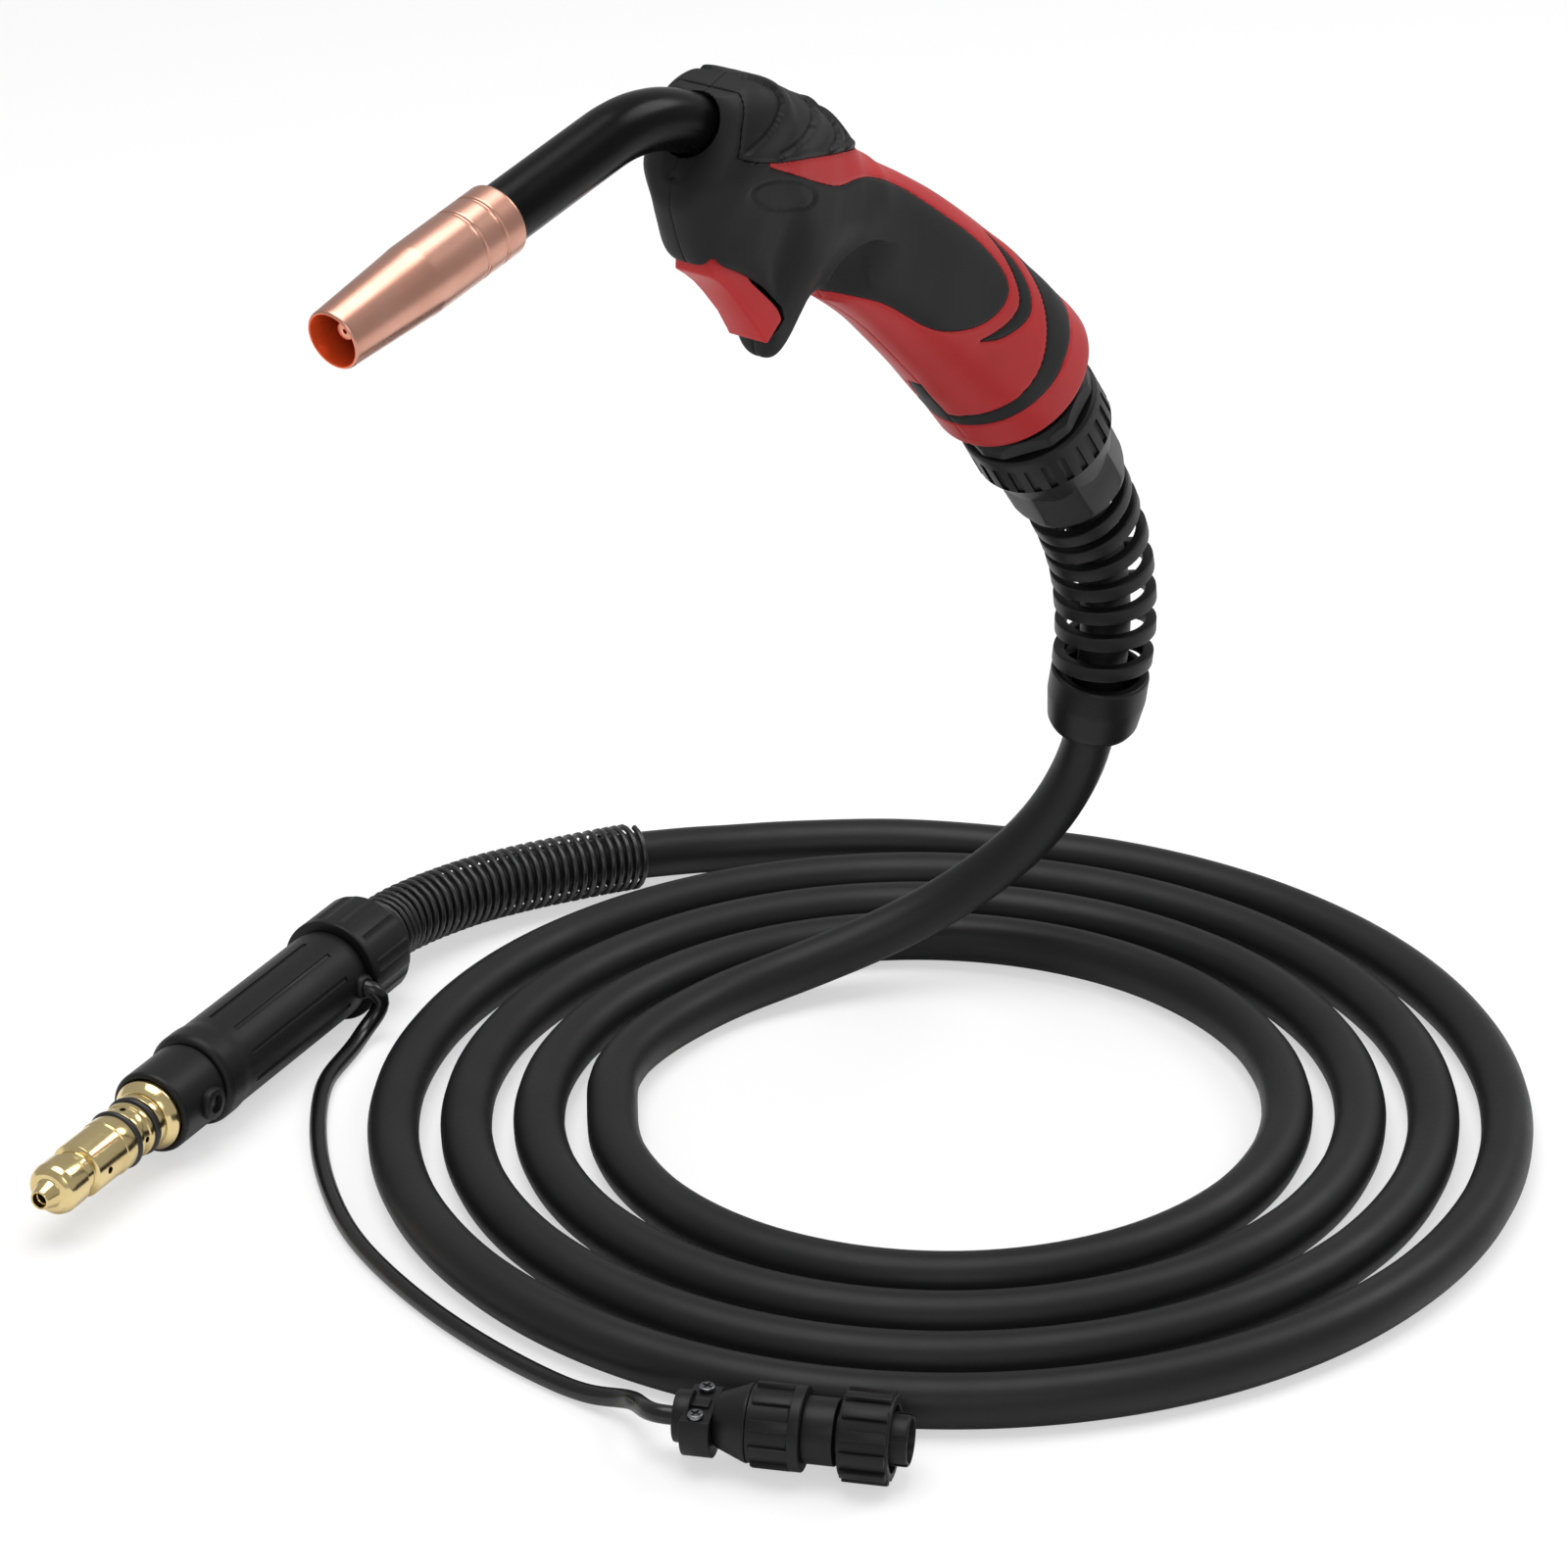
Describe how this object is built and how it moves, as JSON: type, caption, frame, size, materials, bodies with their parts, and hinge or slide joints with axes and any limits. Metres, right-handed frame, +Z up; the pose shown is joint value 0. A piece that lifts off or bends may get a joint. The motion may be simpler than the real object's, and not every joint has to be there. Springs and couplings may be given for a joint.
{
  "type": "welding torch",
  "caption": "Swan-neck MIG welding torch with pistol grip, ball knuckle, coiled power cable, machine plug and control plug.",
  "frame": {"origin": "middle of the hand grip, in the plane that splits the handle", "axes": "+X points forward out of the torch towards the nozzle, +Y to its left, +Z up; the coil lies on z = -0.280"},
  "size_m": [0.4353, 0.402, 0.366],
  "materials": {
    "nozzle_copper": "satin copper plating, rose tinted",
    "tip_copper": "bright copper",
    "brass": "polished turned brass",
    "steel": "plain steel",
    "zinc_screw": "bright zinc",
    "ceramic": "off-white insulator",
    "neck_black": "gloss black insulation",
    "shell_red": "satin red moulding",
    "trigger_red": "smooth red moulding",
    "soft_black": "soft-touch matt black",
    "moulded_black": "satin black moulding",
    "cable_black": "satin dark grey rubber",
    "lead_black": "smooth black sheath",
    "spring_black": "black oxide spring wire",
    "seal_black": "O-ring rubber",
    "hidden_black": "black"
  },
  "bodies": {
    "lead": {"cable_coil": "cable_black", "cable_riser": "cable_black", "cable_lead": "cable_black", "swivel_hub": "moulded_black", "lock_ring": "moulded_black", "support_nut": "moulded_black", "support_head": "moulded_black", "support_sleeve": "moulded_black", "support_collar": "moulded_black", "spring_guard": "spring_black", "plug_nut": "moulded_black", "plug_body": "moulded_black", "plug_sleeve": "moulded_black", "plug_screw": "steel", "control_gland": "moulded_black", "pin_collar": "brass", "power_pin": "brass", "pin_seals": "seal_black", "pin_nose": "brass", "control_lead": "lead_black", "clamp_saddle": "moulded_black", "clamp_screws": "zinc_screw", "backshell": "moulded_black", "backshell_ring": "moulded_black", "plug_barrel": "moulded_black", "plug_insert": "hidden_black", "contact_pins": "brass"},
    "knuckle": {"knuckle_ring": "moulded_black", "knuckle_pins": "steel"},
    "handle": {"handle_shell_left": "shell_red", "handle_shell_right": "shell_red", "soft_grip_left": "soft_black", "soft_grip_right": "soft_black", "side_flashes": "soft_black", "thumb_rest": "soft_black", "rear_band": "soft_black", "end_rim": "shell_red", "shell_screws": "steel", "trigger_pin": "steel", "microswitch": "hidden_black", "neck_tube": "tip_copper", "neck_jacket": "neck_black", "wire_liner": "steel", "neck_nut": "brass", "conductor_stud": "brass", "inner_cable": "cable_black", "nozzle_insulator": "ceramic", "gas_diffuser": "brass", "contact_tip": "tip_copper"},
    "trigger": {"trigger": "trigger_red"},
    "plunger": {"switch_plunger": "steel"},
    "nozzle": {"nozzle": "nozzle_copper"},
    "coupling": {"coupling_ring": "moulded_black"}
  },
  "joints": [
    {"name": "knuckle_turn", "type": "hinge", "parent": "lead", "child": "knuckle", "pos_m": [-0.045, 0, -0.0385], "axis": [0.5948, 0, 0.8039], "range_deg": [-60, 60]},
    {"name": "handle_tilt", "type": "hinge", "parent": "knuckle", "child": "handle", "pos_m": [-0.045, 0, -0.0385], "axis": [0, 1, 0], "range_deg": [-18, 6]},
    {"name": "trigger_pull", "type": "hinge", "parent": "handle", "child": "trigger", "pos_m": [0.0925, 0, 0.038], "axis": [0, 1, 0], "range_deg": [0, 5], "stiffness_Nm_per_rad": 0.6, "springref_deg": -20.05},
    {"name": "plunger_push", "type": "slide", "parent": "handle", "child": "plunger", "axis": [-0.6947, 0, 0.7193], "range_m": [0, 0.0016]},
    {"name": "nozzle_pull", "type": "slide", "parent": "handle", "child": "nozzle", "axis": [0.9748, 0, -0.2233], "range_m": [0, 0.022]},
    {"name": "coupling_turn", "type": "hinge", "parent": "lead", "child": "coupling", "pos_m": [0.16572, 0.11335, -0.2666], "axis": [-0.4415, 0.8973, 0], "continuous": true}
  ],
  "couplings": [
    {"joint": "plunger_push", "follows": "trigger_pull", "m_per_rad": 0.016}
  ]
}
